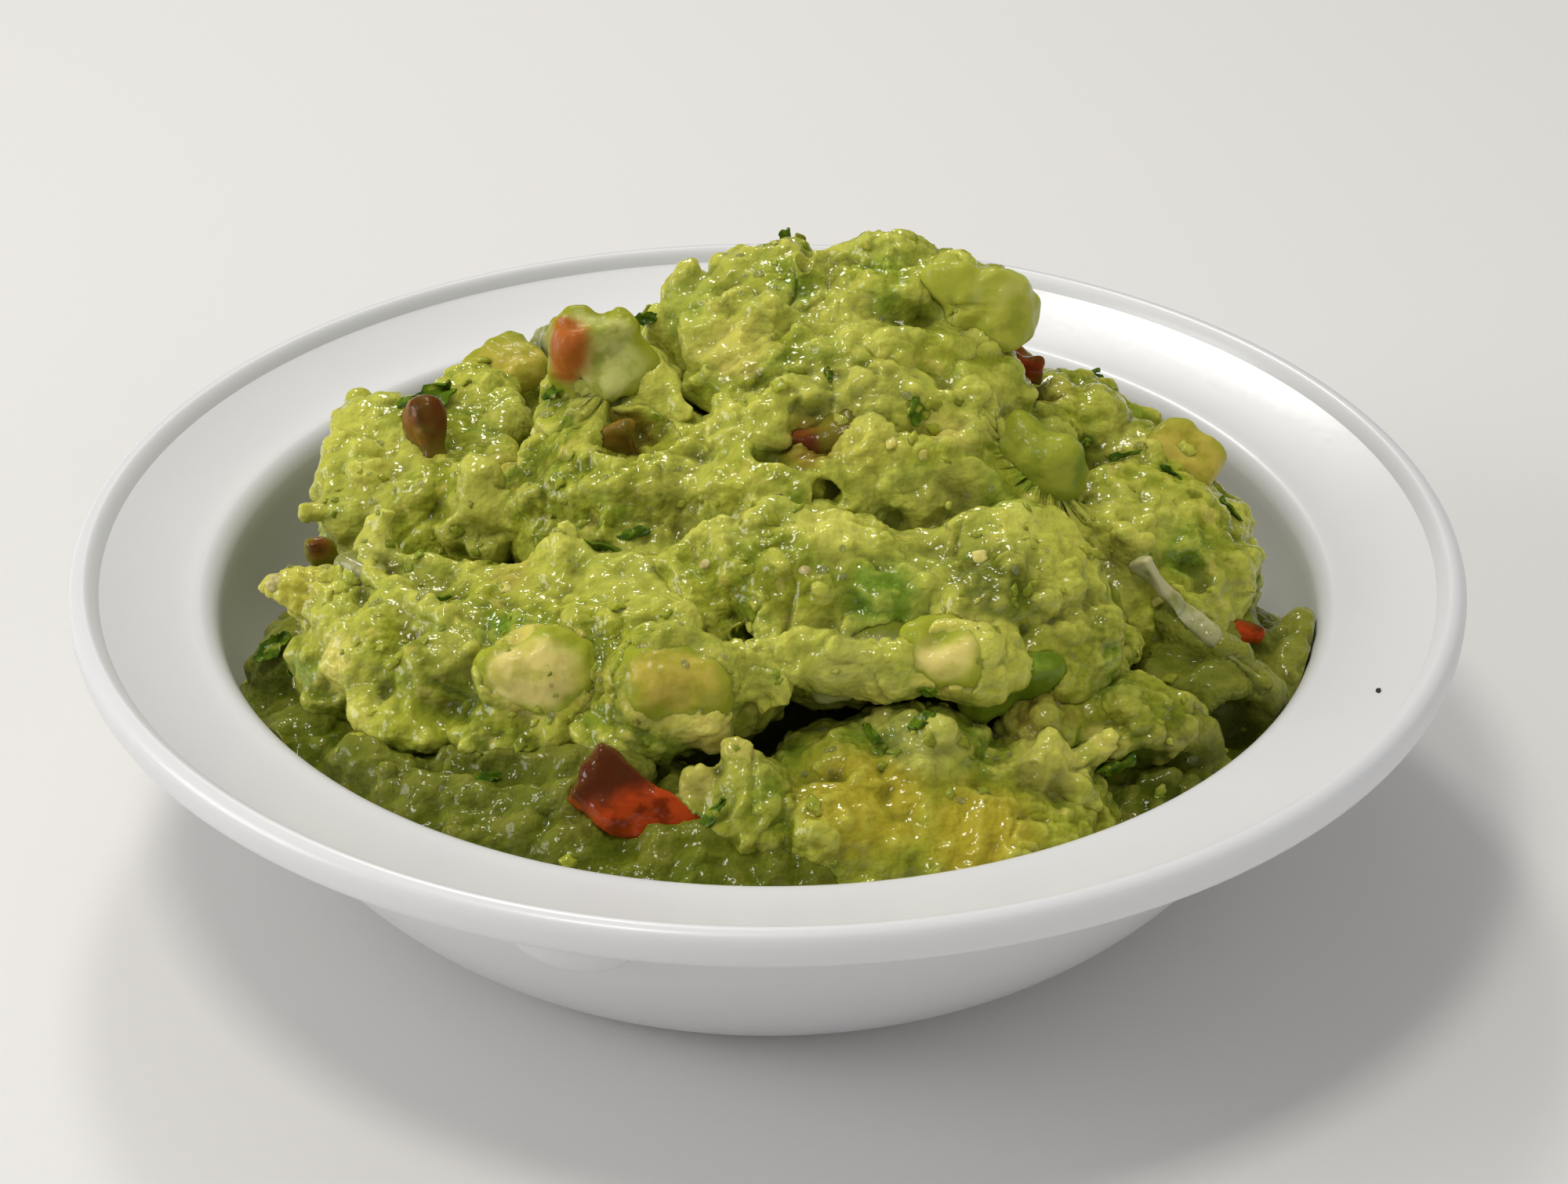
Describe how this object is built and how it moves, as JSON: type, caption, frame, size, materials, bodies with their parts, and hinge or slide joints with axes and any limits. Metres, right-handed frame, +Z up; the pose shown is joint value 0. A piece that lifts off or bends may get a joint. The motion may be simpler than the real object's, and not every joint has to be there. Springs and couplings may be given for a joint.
{
  "type": "bowl of guacamole",
  "caption": "Chunky guacamole heaped in a shallow white rimmed bowl, with larger pieces of tomato, avocado, onion and green pepper showing in the mash.",
  "frame": {"origin": "on the table surface, under the centre of the bowl's foot", "axes": "+Z up, -Y towards the side with the big overhanging front spoonful, +X to its right"},
  "size_m": [0.164, 0.164, 0.0692],
  "materials": {
    "melamine": "white moulded melamine, smooth and softly glossy",
    "mash": "wet, grainy avocado mash, yellow-green with paler and darker patches",
    "tomato": "wet diced tomato flesh with glossy skin",
    "avocado_green": "smooth moist avocado flesh, green from near the skin",
    "avocado_pale": "moist avocado flesh, pale yellow from near the stone",
    "onion": "translucent wet diced onion",
    "pepper": "glossy green pepper skin"
  },
  "bodies": {
    "root": {"bowl": "melamine", "guacamole": "mash", "tomato_front": "tomato", "tomato_left": "tomato", "tomato_crown": "tomato", "tomato_middle": "tomato", "tomato_centre": "tomato", "avocado_crown": "avocado_green", "avocado_back_right": "avocado_pale", "avocado_round": "avocado_green", "avocado_front_left": "avocado_pale", "avocado_front_middle": "avocado_pale", "avocado_front_right": "avocado_pale", "onion_front": "onion", "onion_right": "onion", "pepper_front": "pepper"}
  },
  "joints": []
}
